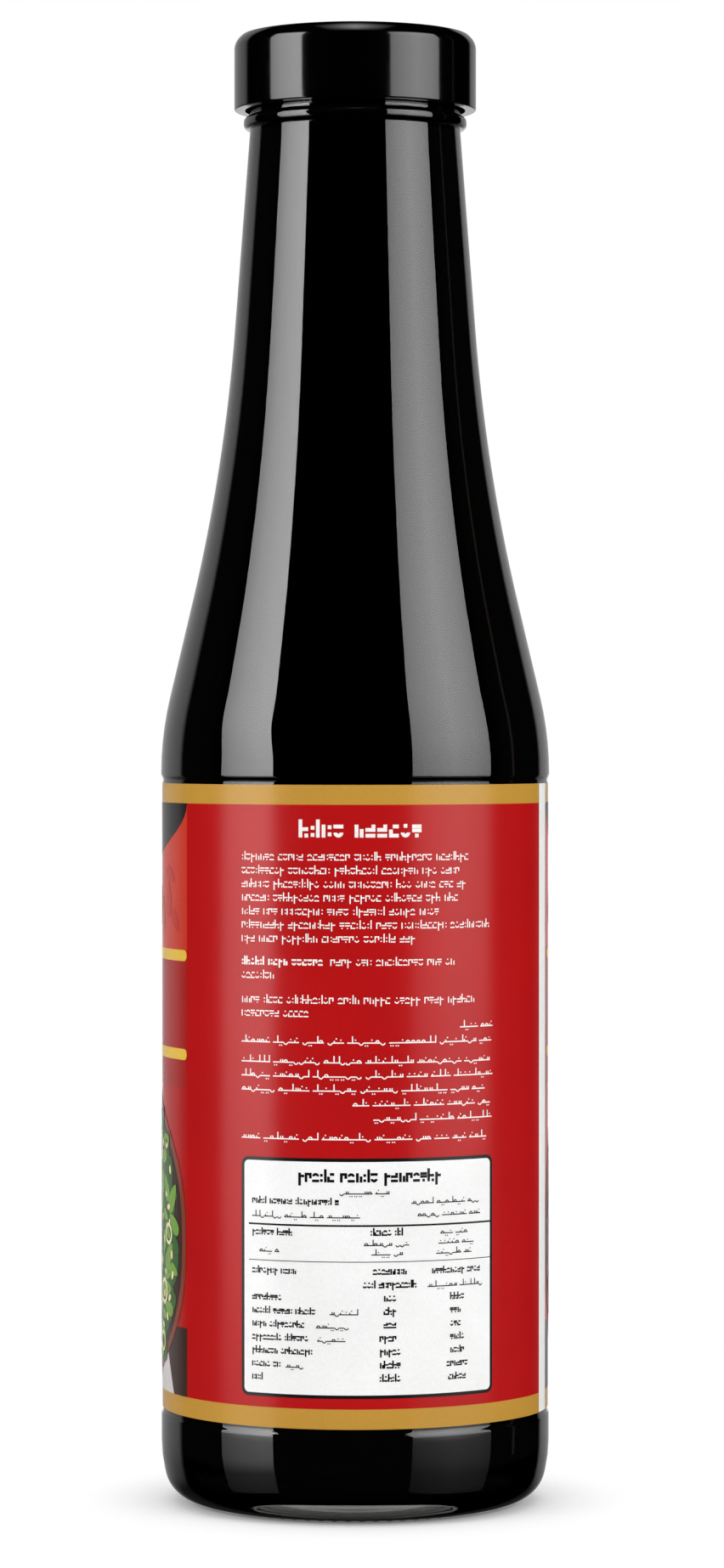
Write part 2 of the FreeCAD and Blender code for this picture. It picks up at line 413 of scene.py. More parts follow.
# %% The screw cap
BEVEL, BEVEL_TOP, BEVEL_SIDE, RIM_ROUND = 1.25, 0.7, 2.6, 0.25
THREAD_ROOM = 0.85  # the cap stands off the glass by this much
CAP_INNER = FINISH + THREAD_ROOM
CAP = [
    (0, CAP_TOP, 0), (CAP_RADIUS - BEVEL, CAP_TOP, BEVEL_TOP), (CAP_RADIUS, CAP_TOP - BEVEL, BEVEL_SIDE),
    (CAP_RADIUS, CAP_RIM, RIM_ROUND), (CAP_INNER, CAP_RIM, 0), (CAP_INNER, LIP, 0), (0, LIP, 0),
]
cap = turned("screw_cap", softened(CAP, longest=2.0, turn_step=5.0), 192)
black_plastic, tree, shader, where = finish_of("gloss_black_plastic", {
    "Base Color": linear("#010101"), "IOR": 1.48})
handling = node(tree, NOISE, inputs={"Vector": where, "Scale": 1 / (6 * MM), "Detail": 4.0})
haze = node(tree, RANGE, inputs={"Value": handling, "To Min": 0.05, "To Max": 0.13})
spot = node(tree, "ShaderNodeSeparateXYZ", inputs=[where])
flat_top = node(tree, MATH, "GREATER_THAN", [spot.outputs["Z"], (CAP_TOP - 0.04) * MM])
dulled = node(tree, MIX, NUMBERS, {0: flat_top, 2: haze, 3: 0.55})
shine = node(tree, MIX, NUMBERS, {0: flat_top, 2: 0.5, 3: 0.08})
ripple = node(tree, NOISE, inputs={"Vector": where, "Scale": 1 / (4 * MM), "Detail": 2.0})
moulded = node(tree, "ShaderNodeBump", inputs={"Height": ripple, "Strength": 1.0, "Distance": 0.004 * MM})
feed(shader, {"Roughness": dulled, "Specular IOR Level": shine, "Normal": moulded})
cap.data.materials.append(black_plastic)
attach(cap, "root")
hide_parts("cap")

# %% [markdown]
# The label is one long strip of printed film. It is laid out flat, as the printer does, and
# then wrapped: x runs along the strip, z is height on the bottle, and depth towards -Y is how
# far a layer stands off the glass. The strip starts under the seam, goes once round and climbs
# over its own start for the last few millimetres. One tree does that wrap for the film and for
# every printed shape, so they always fit each other.

# %% The wrap
WRAP_RADIUS = 31.5
SEAM = math.radians(70.0) * WRAP_RADIUS  # the printed end, cut straight
LAP, CLIMB_RUN = 6.0, 2.0  # it climbs over its own start in this run
START = SEAM - LAP - 2 * math.pi * WRAP_RADIUS  # the bare end, under the lap
wrap, given, result = geometry_tree("wrap round the bottle", [
    ("Wrap Radius", "Float", WRAP_RADIUS * MM), ("Panel Radius", "Float", PANEL * MM),
    ("Climb From", "Float", (SEAM - LAP - CLIMB_RUN) * MM),
    ("Climb To", "Float", (SEAM - LAP) * MM),
    ("Climb", "Float", FILM * MM)])
place = node(wrap, "ShaderNodeSeparateXYZ", inputs=[node(wrap, "GeometryNodeInputPosition")])
angle = node(wrap, MATH, "DIVIDE", [place.outputs["X"], given.outputs["Wrap Radius"]])
climbed = node(wrap, RANGE, {"clamp": True}, {
    "Value": place.outputs["X"], "From Min": given.outputs["Climb From"],
    "From Max": given.outputs["Climb To"], "To Max": given.outputs["Climb"]})
radius = node(wrap, MATH, "SUBTRACT", [given.outputs["Panel Radius"], place.outputs["Y"]])
radius = node(wrap, MATH, "ADD", [radius, climbed])
sine = node(wrap, MATH, "SINE", [angle])
cosine = node(wrap, MATH, "COSINE", [angle])
across = node(wrap, MATH, "MULTIPLY", [radius, sine])
towards = node(wrap, MATH, "MULTIPLY", [radius, cosine])
towards = node(wrap, MATH, "MULTIPLY", [towards, -1.0])
bent = node(wrap, "ShaderNodeCombineXYZ", inputs=[across, towards, place.outputs["Z"]])
moved = node(wrap, "GeometryNodeSetPosition",
             inputs={"Geometry": given.outputs["Geometry"], "Position": bent})
end_tree(wrap, given, result, moved)
print("the strip is", round(SEAM - START, 1), "mm long")


# %% [markdown]
# Flat shapes are cut along the same upright lines before they are bent, like slats of a blind,
# so every layer has its bends in the same places and none sinks through the one below.

# %% Flat shapes and how they are bent
SLAT = 1.375
LAYER = 0.02  # each ink stands this far off the one below


def flat_piece(name, outlines, depth):
    """Flat faces through lists of (x, z) points, facing -Y, cut into slats. Millimetres."""
    sheet = bmesh.new()
    for outline in outlines:
        sheet.faces.new([sheet.verts.new((x * MM, -depth * MM, z * MM)) for x, z in outline])
    first = min(x for outline in outlines for x, z in outline)
    last = max(x for outline in outlines for x, z in outline)
    for count in range(math.ceil(first / SLAT + 1e-4), math.ceil(last / SLAT - 1e-4)):
        bmesh.ops.bisect_plane(sheet, geom=sheet.verts[:] + sheet.edges[:] + sheet.faces[:],
                               plane_co=(count * SLAT * MM, 0, 0), plane_no=(1, 0, 0))
    return piece_of(name, sheet)


def on_label(piece, material, tree=wrap, values=None):
    made_by(piece, tree, {"Material": material, **(values or {})})
    shaded(piece)
    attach(piece, "root")
    return piece


def lay(name, outlines, layer, ink):
    """Print flat shapes in one ink, so many layers above the film."""
    return on_label(flat_piece(name, outlines, FILM + layer * LAYER), ink)


def put_away(helpers):
    """Remove objects that were only drawn to be copied."""
    for helper in list(helpers):
        mesh = helper.data
        bpy.data.objects.remove(helper)
        bpy.data.meshes.remove(mesh)


def box_of(x0, z0, x1, z1):
    return [(x0, z0), (x1, z0), (x1, z1), (x0, z1)]


def rounded_box(x0, z0, x1, z1, corner, steps=6):
    outline = []
    for cx, cz, start in ((x1 - corner, z0 + corner, -90), (x1 - corner, z1 - corner, 0),
                          (x0 + corner, z1 - corner, 90), (x0 + corner, z0 + corner, 180)):
        for step in range(steps + 1):
            turn = math.radians(start + 90 * step / steps)
            outline.append((cx + corner * math.cos(turn), cz + corner * math.sin(turn)))
    return outline


# %% [markdown]
# The film itself has a real thickness, so its cut edge shows as a fine bright line at the seam.
# It is a long thin box with faces on all six sides. The varnish is semi-gloss and not quite
# flat: film pulled round glass keeps long shallow waves.

# %% The film and its finish
def printed(name, hex_colour, roughness=0.22):
    material, tree, shader, where = finish_of(name, {"IOR": 1.48, "Specular IOR Level": 0.22})
    grain = node(tree, NOISE, inputs={"Vector": where, "Scale": 1 / (0.35 * MM), "Detail": 2.0})
    clouds = node(tree, NOISE, inputs={"Vector": where, "Scale": 1 / (14 * MM), "Detail": 2.0})
    mottle = node(tree, MATH, "ADD", [grain, clouds])
    level = node(tree, RANGE, inputs={
        "Value": mottle, "From Min": 0.6, "From Max": 1.4, "To Min": 0.94, "To Max": 1.06})
    ink = node(tree, MIX, {"data_type": "RGBA", "blend_type": "MULTIPLY"}, {
        "Factor": 1.0, 6: linear(hex_colour), 7: level})
    sheen = node(tree, RANGE, inputs={
        "Value": grain, "To Min": roughness - 0.04, "To Max": roughness + 0.06})
    pulled = node(tree, "ShaderNodeBump", inputs={"Height": clouds, "Strength": 1.0, "Distance": 0.06 * MM})
    feed(shader, {"Base Color": ink.outputs[2], "Roughness": sheen, "Normal": pulled})
    return material


FILM_BACK = 0.095  # its back stops just short of the glass
film_plastic = printed("white_label_film", "#EFF0EF")
film = flat_piece("label_film", [box_of(START, LABEL_LOW, SEAM, LABEL_HIGH)], FILM)
thick = bmesh.new()
thick.from_mesh(film.data)
grown = bmesh.ops.extrude_face_region(thick, geom=thick.faces[:])
back_points = [item for item in grown["geom"] if isinstance(item, bmesh.types.BMVert)]
bmesh.ops.translate(thick, verts=back_points, vec=(0, FILM_BACK * MM, 0))
bmesh.ops.recalc_face_normals(thick, faces=thick.faces[:])
thick.to_mesh(film.data)
thick.free()
on_label(film, film_plastic)
shaded(film, 40.0)
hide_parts("label")

# %% [markdown]
# Colour fields come next, in the order a press lays them: red over both panels, then the gold
# bands along both edges. They share one depth and never overlap, so nothing flickers.

# %% The red fields and the gold bands
BAND_LOW, BAND_HIGH = 18.9, 114.95
PANEL_LEFT = -32.3  # where the pictured panel ends
PRINT_START = START + LAP + 4.7  # the last strip before the seam stays bare
label_red = printed("red_ink", "#B00C0E")
label_gold = printed("gold_ink", "#BC8E38")
lay("red_back_panel", [box_of(PANEL_LEFT, BAND_LOW, SEAM, BAND_HIGH)], 1, label_red)
lay("gold_bands", [box_of(PRINT_START, LABEL_LOW, SEAM, BAND_LOW),
                   box_of(PRINT_START, BAND_HIGH, SEAM, LABEL_HIGH)], 1, label_gold)
front_red = printed("front_red_ink", "#AC1213")
lay("red_front_panel", [box_of(PRINT_START, BAND_LOW, PANEL_LEFT, BAND_HIGH)], 1, front_red)

# %% [markdown]
# The nutrition panel is a white field with round corners and a dark border. The border is the
# larger black shape showing round the smaller white one.

# %% The white panel
label_black = printed("black_ink", "#141313")
label_white = printed("white_ink", "#F1F2F1")
LEFT_MARGIN, RIGHT_MARGIN = -19.1, 24.1  # both columns of print keep to these
TABLE_LOW, TABLE_HIGH, BORDER = 20.6, 58.8, 0.55
lay("panel_border", [rounded_box(LEFT_MARGIN, TABLE_LOW, RIGHT_MARGIN, TABLE_HIGH, 1.3)], 2, label_black)
lay("panel_field", [rounded_box(
    LEFT_MARGIN + BORDER, TABLE_LOW + BORDER, RIGHT_MARGIN - BORDER, TABLE_HIGH - BORDER, 0.8)],
    3, label_white)
RULES = ((48.1, 0.15), (42.35, 0.06))  # height and half thickness of each
lay("panel_rules", [
    box_of(LEFT_MARGIN + 1.4, rule - half, RIGHT_MARGIN - BORDER, rule + half) for rule, half in RULES],
    4, label_black)

# %% [markdown]
# The fine print says nothing. Each row is a run of small marks made of bars, dots and open arcs,
# at the pitch and weight that small print has. A mark is drawn once, one unit tall, and its
# strokes meet edge to edge and never overlap, so no two faces share a place.

# %% The marks
def bar(x0, z0, x1, z1):
    return [box_of(x0, z0, x1, z1)]


def dot(x, z, size):
    return [box_of(x - size / 2, z - size / 2, x + size / 2, z + size / 2)]


def arc(x, z, reach, first, last, stroke, steps=7):
    pieces = []
    for step in range(steps):
        a = math.radians(first + (last - first) * step / steps)
        b = math.radians(first + (last - first) * (step + 1) / steps)
        pieces.append([(x + r * math.cos(t), z + r * math.sin(t))
                       for r, t in ((reach - stroke, a), (reach, a), (reach, b), (reach - stroke, b))])
    return pieces


def upright_marks(s):
    w = 0.76
    return [
        bar(0, 0, s, 1) + bar(s, 1 - s, w, 1) + bar(w - s, 0.4, w, 1 - s),
        bar(0, 0, s, 0.62) + bar(s, 0, w, s) + bar(s, 1 - s, w, 1),
        bar(0.08, 0, 0.08 + s, 1) + bar(w - s, 0, w, 0.66),
        bar(0, 0, s, 1) + dot(w - s / 2, 0.8, s) + dot(w - s / 2, 0.25, s),
        arc(w / 2, 0.62, 0.38, 0, 180, s) + bar(0, 0, w, s),
        arc(w / 2, 0.38, 0.38, 180, 360, s) + dot(w / 2, 0.9, s),
        bar(w - s, 0, w, 1.4) + dot(0.2, 0.2, s) + dot(0.2, 0.75, s),
        bar(0.1, -0.38, 0.1 + s, 1) + bar(0.1 + s, 0.5, w, 0.5 + s),
        bar(0, 1 - s, w, 1) + bar(0, 0.4, w, 0.4 + s) + dot(w / 2, s / 2, s),
        bar(0, 0, w, s) + bar(0, 0.45, w, 0.45 + s) + bar(w - s, 0.45 + s, w, 1),
        arc(w / 2, 0.38, 0.38, 180, 360, s) + bar(0, 1 - s, w, 1),
        bar(0, 0, s, 1.4) + bar(s, 0.5, w, 0.5 + s) + bar(w - s, 0, w, 0.3),
    ]


def running_marks(s):
    w = 1.04
    return [
        bar(0, 0, w, s) + dot(0.5, 0.62, s),
        bar(0, 0, w, s) + bar(w - s, s, w, 1.3),
        bar(0, 0, w, s) + dot(0.32, -0.4, s) + dot(0.7, -0.4, s),
        arc(w / 2, 0.12, 0.46, 180, 360, s),
        bar(0, 0, w, s) + bar(0.42, s, 0.42 + s, 0.62) + bar(0.8, s, 0.8 + s, 0.62),
        arc(w / 2, s, 0.4, 0, 180, s) + bar(0, 0, w, s),
        bar(0, 0, w, s) + bar(0.2, s, 0.2 + s, 0.5) + dot(0.66, 0.85, s),
    ]


def drawn_mesh(name, outlines):
    """Flat faces through lists of (x, z) points, about one unit tall, to be copied by a tree."""
    corners, faces = [], []
    for outline in outlines:
        faces.append(list(range(len(corners), len(corners) + len(outline))))
        corners.extend((x, 0, z) for x, z in outline)
    mesh = bpy.data.meshes.new(name)
    mesh.from_pydata(corners, [], faces)
    return mesh


def box_of_marks(name, marks):
    drawer = bpy.data.collections.new(name)
    for count, outlines in enumerate(marks):
        mesh = drawn_mesh(name + "_" + str(count), outlines)
        drawer.objects.link(bpy.data.objects.new(mesh.name, mesh))
    return drawer


light_marks = box_of_marks("light_marks", upright_marks(0.2))
heavy_marks = box_of_marks("heavy_marks", upright_marks(0.29))
joined_marks = box_of_marks("joined_marks", running_marks(0.22))

# %% [markdown]
# A tree sets the marks along the rows. Every word is one edge; the edge becomes a curve, points
# are spaced along it at the pitch, and each point picks one mark at random. Typing each row by
# hand would take hundreds of pieces. The wrap comes last, so the rows bend with the film.

# %% The tree that sets a row
setting, given, result = geometry_tree("set marks along the rows", [
    ("Marks", "Collection"), ("Mark Count", "Int"), ("Pitch", "Float"),
    ("Mark Height", "Float"), ("Seed", "Int")])
rows = node(setting, "GeometryNodeMeshToCurve", inputs=[given.outputs["Geometry"]])
spaced = node(setting, "GeometryNodeResampleCurve", {"mode": "LENGTH"},
              {"Curve": rows, "Length": given.outputs["Pitch"]})
last = node(setting, MATH, "SUBTRACT", [given.outputs["Mark Count"], 1.0])
chance = node(setting, "FunctionNodeRandomValue", {"data_type": "INT"})
at = {socket.name: index for index, socket in enumerate(chance.inputs) if socket.enabled}
feed(chance, {at["Min"]: 0, at["Max"]: last, at["ID"]: node(setting, "GeometryNodeInputIndex"),
              at["Seed"]: given.outputs["Seed"]})
picked = [socket for socket in chance.outputs if socket.enabled][0]
drawer = node(setting, "GeometryNodeCollectionInfo", inputs={
    "Collection": given.outputs["Marks"], "Separate Children": True, "Reset Children": True})
size = node(setting, "ShaderNodeCombineXYZ", inputs=[given.outputs["Mark Height"]] * 3)
placed = node(setting, "GeometryNodeInstanceOnPoints", inputs={
    "Points": spaced, "Instance": drawer, "Pick Instance": True,
    "Instance Index": picked, "Scale": size})
whole = node(setting, "GeometryNodeRealizeInstances", inputs=[placed])
bending = node(setting, "GeometryNodeGroup", {"node_tree": wrap}, {
    "Geometry": whole, "Material": given.outputs["Material"]})
feed(result, [bending])


def set_rows(name, rows, marks, pitch, tall, ink, layer, seed):
    """Split (left, right, z) rows into words and set them as one printed piece."""
    chooser = random.Random(seed)
    depth = -(FILM + layer * LAYER) * MM
    corners = []
    for left, right, z in rows:
        spot = left
        while right - spot > 1.6 * pitch:
            signs = min(chooser.randint(3, 9), int((right - spot) / pitch + 0.2))
            corners.append((spot * MM, depth, z * MM))
            spot += pitch * (signs - 1)
            corners.append(((spot + 1e-3) * MM, depth, z * MM))
            spot += 1.7 * pitch
    mesh = bpy.data.meshes.new(name)
    mesh.from_pydata(corners, [(index, index + 1) for index in range(0, len(corners), 2)], [])
    return on_label(staged(name, mesh), ink, setting, {
        "Marks": marks, "Mark Count": len(marks.objects), "Pitch": pitch * MM,
        "Mark Height": tall * MM, "Seed": seed})


# %% [markdown]
# The rows themselves. Blocks are set from a top line downwards at an even pitch; each block is
# given where its lines end, ragged as set type is. Above the panel the marks are white on red;
# inside it they are black, in three columns.

# %% Setting the fine print
def block(left, ends, top, pitch):
    return [(left, end, top - pitch * index) for index, end in enumerate(ends)]


def cells(centre, widths, top, pitch):
    return [(centre - width / 2, centre + width / 2, top - pitch * index)
            for index, width in enumerate(widths) if width]


text_white = printed("white_print", "#F4EDEA")
text_pitch = 0.86
set_rows("print_heading", [(-9.0, 11.6, 109.75)], heavy_marks, 1.87, 2.05, text_white, 2, 3)
contents = block(LEFT_MARGIN, (19.6, 17.6, 19.1, 17.2, 15.4, 23.4, 9.8), 106.1, 2.17)
notes = [(-3.9, 16.4, 89.4), (LEFT_MARGIN, -13.1, 87.25),
         (LEFT_MARGIN, 21.0, 83.35), (LEFT_MARGIN, -6.8, 81.2)]
set_rows("print_contents", contents + notes, light_marks, text_pitch, 1.0, text_white, 2, 5)
set_rows("print_notes", [(LEFT_MARGIN, -5.0, 89.4)], heavy_marks, text_pitch, 1.0, text_white, 2, 7)
second = block(LEFT_MARGIN, (24.0, 24.0, 24.0), 73.9, 2.25) + [
    (LEFT_MARGIN, 24.0, 77.05), (-0.4, 24.0, 67.1), (2.9, 24.0, 64.8),
    (LEFT_MARGIN, 24.0, 61.7), (17.5, 24.0, 79.35)]
set_rows("print_second_block", second, joined_marks, text_pitch, 0.9, text_white, 2, 11)

set_rows("print_title", [(-9.2, 14.0, 55.0)], heavy_marks, 1.2, 1.5, label_black, 4, 13)
row_pitch, first_row = 2.13, 40.3
table_left = LEFT_MARGIN + 2.0
names = [(table_left, table_left + width, first_row - row_pitch * index)
         for index, width in enumerate((7.9, 0, 5.8, 12.2, 9.5, 10.0, 11.2, 5.2, 3.4)) if width]
heads = [(table_left, -2.1, 51.4), (table_left, -9.9, 46.4)]
set_rows("print_names", names + heads, heavy_marks, 0.66, 0.84, label_black, 4, 17)
values = cells(5.6, (5.6, 8.8, 2.2, 2.2, 2.2, 3.5, 3.5, 3.5, 3.5), first_row, row_pitch)
set_rows("print_values", values + [(2.4, 7.8, 46.5)], heavy_marks, 0.68, 0.92, label_black, 4, 19)
shares = cells(17.0, (9.2, 0, 2.7, 2.7, 2.7, 2.7, 2.7, 4.0, 3.4), first_row, row_pitch)
set_rows("print_shares", shares, heavy_marks, 0.66, 0.84, label_black, 4, 23)
seconds = [(-2.5, 7.1, 53.1), (9.0, 21.5, 51.5), (table_left, 0.6, 49.3), (10.0, 21.4, 49.5),
           (13.9, 19.4, 46.6), (-15.8, -11.8, 43.7), (1.4, 8.6, 44.9), (2.6, 7.5, 43.4),
           (13.6, 20.0, 45.0), (13.2, 19.8, 43.4), (11.7, 22.0, first_row - row_pitch),
           (-4.0, 0.4, first_row - 3 * row_pitch), (-6.2, -0.6, first_row - 4 * row_pitch),
           (-6.0, -1.0, first_row - 5 * row_pitch), (-11.2, -8.2, first_row - 7 * row_pitch)]
set_rows("print_second_names", seconds, joined_marks, 0.74, 0.78, label_black, 4, 29)
for marks in (light_marks, heavy_marks, joined_marks):
    put_away(marks.objects)
    bpy.data.collections.remove(marks)

# %% [markdown]
# The pictured panel fills the rest of the strip. It is a plain design of its own: a dark crest,
# a blank cream plaque in a gold frame, two gold lines round a deeper band, and a platter on a
# cloth. Large shapes are laid as flat fields, each a layer above the one it covers.

# %% Fields of the pictured panel
FRONT = (PRINT_START + PANEL_LEFT) / 2
HALF = (PANEL_LEFT - PRINT_START) / 2


def oval(centre, middle, half_width, half_height, power=2.0, steps=72):
    outline = []
    for step in range(steps):
        c, s = math.cos(2 * math.pi * step / steps), math.sin(2 * math.pi * step / steps)
        z = middle + half_height * math.copysign(abs(s) ** (2 / power), s)
        outline.append((centre + half_width * math.copysign(abs(c) ** (2 / power), c),
                        min(max(z, BAND_LOW), BAND_HIGH)))
    return outline


def field(name, outlines, hex_colour, layer):
    return lay(name, outlines, layer, printed(name + "_ink", hex_colour))


LINE_HIGH, LINE_LOW, LINE_TALL = 89.4, 73.4, 1.8
PLATTER, PLATTER_TALL = 43.8, 29.5
field("warm_sky", [box_of(PRINT_START, LINE_HIGH + LINE_TALL, PANEL_LEFT, BAND_HIGH)], "#C23420", 2)
field("dark_crest", [oval(FRONT, BAND_HIGH, HALF, 13.0)], "#171312", 3)
field("deep_band", [box_of(PRINT_START, LINE_LOW - 4.5, PANEL_LEFT, LINE_HIGH)], "#A01A17", 2)
field("gold_lines", [
    rounded_box(PRINT_START + 1.0, low, PANEL_LEFT - 0.1, low + LINE_TALL, 0.85)
    for low in (LINE_HIGH, LINE_LOW)], "#E0B740", 3)
field("plaque_frame", [oval(FRONT, 100.0, 34.0, 9.6, 2.4)], "#D6A93A", 4)
field("plaque", [oval(FRONT, 100.0, 32.8, 8.4, 2.4)], "#F1E6C4", 5)
field("table_top", [box_of(PRINT_START, BAND_LOW, PANEL_LEFT, 30.0)], "#3A2620", 2)
field("folded_cloth", [[(FRONT - HALF + 6, BAND_LOW), (FRONT + HALF - 5, BAND_LOW),
                        (FRONT + HALF - 12, 34.0), (FRONT - HALF + 14, 34.0)]], "#CFCBC9", 3)
field("platter_rim", [oval(FRONT, PLATTER, HALF - 0.3, PLATTER_TALL, 2.6)], "#7D3A26", 4)
field("platter_glaze", [oval(FRONT, PLATTER, HALF - 1.7, PLATTER_TALL - 1.4, 2.6)], "#2E150F", 5)

# %% [markdown]
# Leaves, pale rings and seeds lie on the platter. A tree scatters one drawn shape over a flat
# patch, turns and sizes each copy at random, and lifts it a hair by its number, so crossing
# copies never share a plane. Subdividing before the wrap lets the shapes bend.

# %% Scattering leaves, rings and seeds
scatter, given, result = geometry_tree("scatter over a patch", [
    ("Shape", "Object"), ("Spacing", "Float"), ("Density", "Float"), ("Smallest", "Float"),
    ("Largest", "Float"), ("Lift", "Float"), ("Seed", "Int")])
spots = node(scatter, "GeometryNodeDistributePointsOnFaces", {"distribute_method": "POISSON"}, {
    "Mesh": given.outputs["Geometry"], "Distance Min": given.outputs["Spacing"],
    "Density Max": given.outputs["Density"], "Seed": given.outputs["Seed"]})
drawn = node(scatter, "GeometryNodeObjectInfo", inputs={"Object": given.outputs["Shape"]})
turned_by = node(scatter, "FunctionNodeRandomValue", NUMBERS, {
    2: 0.0, 3: 2 * math.pi, "Seed": given.outputs["Seed"]})
sized = node(scatter, "FunctionNodeRandomValue", NUMBERS, {
    2: given.outputs["Smallest"], 3: given.outputs["Largest"], "Seed": given.outputs["Seed"]})
facing_out = node(scatter, "ShaderNodeCombineXYZ", inputs={1: turned_by.outputs[1]})
laid = node(scatter, "GeometryNodeInstanceOnPoints", inputs={
    "Points": spots.outputs["Points"], "Instance": drawn.outputs["Geometry"],
    "Rotation": facing_out, "Scale": sized.outputs[1]})
turn_taken = node(scatter, MATH, "MODULO", [node(scatter, "GeometryNodeInputIndex"), 9.0])
lift = node(scatter, MATH, "MULTIPLY", [turn_taken, given.outputs["Lift"]])
lift = node(scatter, MATH, "MULTIPLY", [lift, -1.0])
upwards = node(scatter, "ShaderNodeCombineXYZ", inputs={1: lift})
raised = node(scatter, "GeometryNodeTranslateInstances", inputs={
    "Instances": laid, "Local Space": False, "Translation": upwards})
whole = node(scatter, "GeometryNodeRealizeInstances", inputs=[raised])
finer = node(scatter, "GeometryNodeSubdivideMesh", inputs={"Mesh": whole, "Level": 2})
bending = node(scatter, "GeometryNodeGroup", {"node_tree": wrap}, {
    "Geometry": finer, "Material": given.outputs["Material"]})
feed(result, [bending])


def drawn_shape(name, outlines):
    return staged(name, drawn_mesh(name, outlines))


def strewn(name, patches, shape, hex_colour, layer, spacing, density, sizes, seed):
    piece = flat_piece(name, patches, FILM + layer * LAYER)
    return on_label(piece, printed(name + "_ink", hex_colour), scatter, {
        "Shape": shape, "Spacing": spacing * MM, "Density": density * 1e6,
        "Smallest": sizes[0] * MM, "Largest": sizes[1] * MM, "Lift": 0.0022 * MM, "Seed": seed})


leaf_shape = drawn_shape("leaf", [
    [(0.5 * math.cos(t), 0.24 * math.sin(t) * (1 - 0.35 * math.cos(t)))
     for t in [2 * math.pi * step / 12 for step in range(12)]]])
ring_shape = drawn_shape("ring", arc(0, 0, 0.5, 0, 360, 0.16, 14))
seed_shape = drawn_shape("seed", [
    [(0.5 * math.cos(t), 0.3 * math.sin(t)) for t in [2 * math.pi * step / 8 for step in range(8)]]])
ENDS = [oval(FRONT + side * (HALF - 14.5), PLATTER, 10.0, 19.0) for side in (-1, 1)]
MIDDLE = [oval(FRONT, PLATTER, 36.0, 20.0)]
CORNERS = [box_of(PRINT_START + 4, 93.5, FRONT - 36, 104.0), box_of(FRONT + 37, 93.5, PANEL_LEFT - 4, 104.0)]
strewn("autumn_leaves", CORNERS, leaf_shape, "#B52A1C", 3, 3.4, 0.12, (4.5, 6.5), 2)
strewn("dark_leaves", ENDS, leaf_shape, "#2F5A20", 6, 1.6, 0.5, (4.5, 7.5), 3)
strewn("fresh_leaves", ENDS, leaf_shape, "#6F9A34", 7, 2.6, 0.2, (3.5, 6.0), 4)
strewn("pale_rings", MIDDLE + ENDS, ring_shape, "#E6E0B4", 8, 7.0, 0.02, (3.0, 5.0), 5)
strewn("sesame_seeds", MIDDLE + ENDS, seed_shape, "#EAD9A4", 8, 2.2, 0.12, (1.3, 1.7), 6)
put_away((leaf_shape, ring_shape, seed_shape))

# %% [markdown]
# The studio. The floor is a plain pale sheet that keeps the shadow close to the bottle and runs
# out into white; under the glass its own colour is painted dark as well, a painted contact shadow.
# The world is white to the camera, and white through the glass towards the back. To reflections
# it is dark in front and bright behind, as a studio with a lit backdrop is, and it dims towards
# the underside, where a real table would shade the glass.

# %% Floor and world
PAINTED_SHADOW_RING = (0.0258, 0.0274)  # metres from the axis: painted contact shadow, the floor's own colour dark where glass stands
SEEN_FADE = (0.019, 0.047)  # floor to white, as the camera sees it
THROUGH_FADE = (0.032, 0.060)  # floor to white, as seen through the glass
sheet = bmesh.new()
bmesh.ops.create_grid(sheet, x_segments=24, y_segments=24, size=4.0)
floor = piece_of("studio_floor", sheet)
pale_floor, tree, shader, where = finish_of("pale_floor", {
    "Base Color": linear("#F2F2F2"), "Roughness": 0.9})
distance = node(tree, "ShaderNodeVectorMath", "LENGTH", [where]).outputs["Value"]
away = node(tree, RANGE, SMOOTH, {"Value": distance, "From Min": SEEN_FADE[0], "From Max": SEEN_FADE[1]})
beyond = node(tree, RANGE, SMOOTH, {
    "Value": distance, "From Min": THROUGH_FADE[0], "From Max": THROUGH_FADE[1]})
# Painted shadow: the floor's own colour goes dark under the glass's edge, on top of the lamps' real shadow.
painted_shadow_level = node(tree, RANGE, SMOOTH, {
    "Value": distance, "From Min": PAINTED_SHADOW_RING[0], "From Max": PAINTED_SHADOW_RING[1], "To Min": 0.16, "To Max": 0.9})
painted_shadow_grey = node(tree, "ShaderNodeCombineColor", inputs=[painted_shadow_level] * 3)
feed(shader, {"Base Color": painted_shadow_grey})
rays = node(tree, "ShaderNodeLightPath")
through = node(tree, MATH, "MULTIPLY", [rays.outputs["Is Transmission Ray"], beyond])
seen = node(tree, MATH, "MAXIMUM", [rays.outputs["Is Camera Ray"], rays.outputs["Is Glossy Ray"]])
seen = node(tree, MATH, "MULTIPLY", [seen, away])
share = node(tree, MATH, "MAXIMUM", [seen, through])
white = node(tree, "ShaderNodeEmission", inputs={"Color": (1, 1, 1, 1), "Strength": 1.0})
blend = node(tree, "ShaderNodeMixShader", inputs=[share, shader, white])
feed(tree.nodes["Material Output"], {"Surface": blend})
floor.data.materials.append(pale_floor)
floor.visible_glossy = False

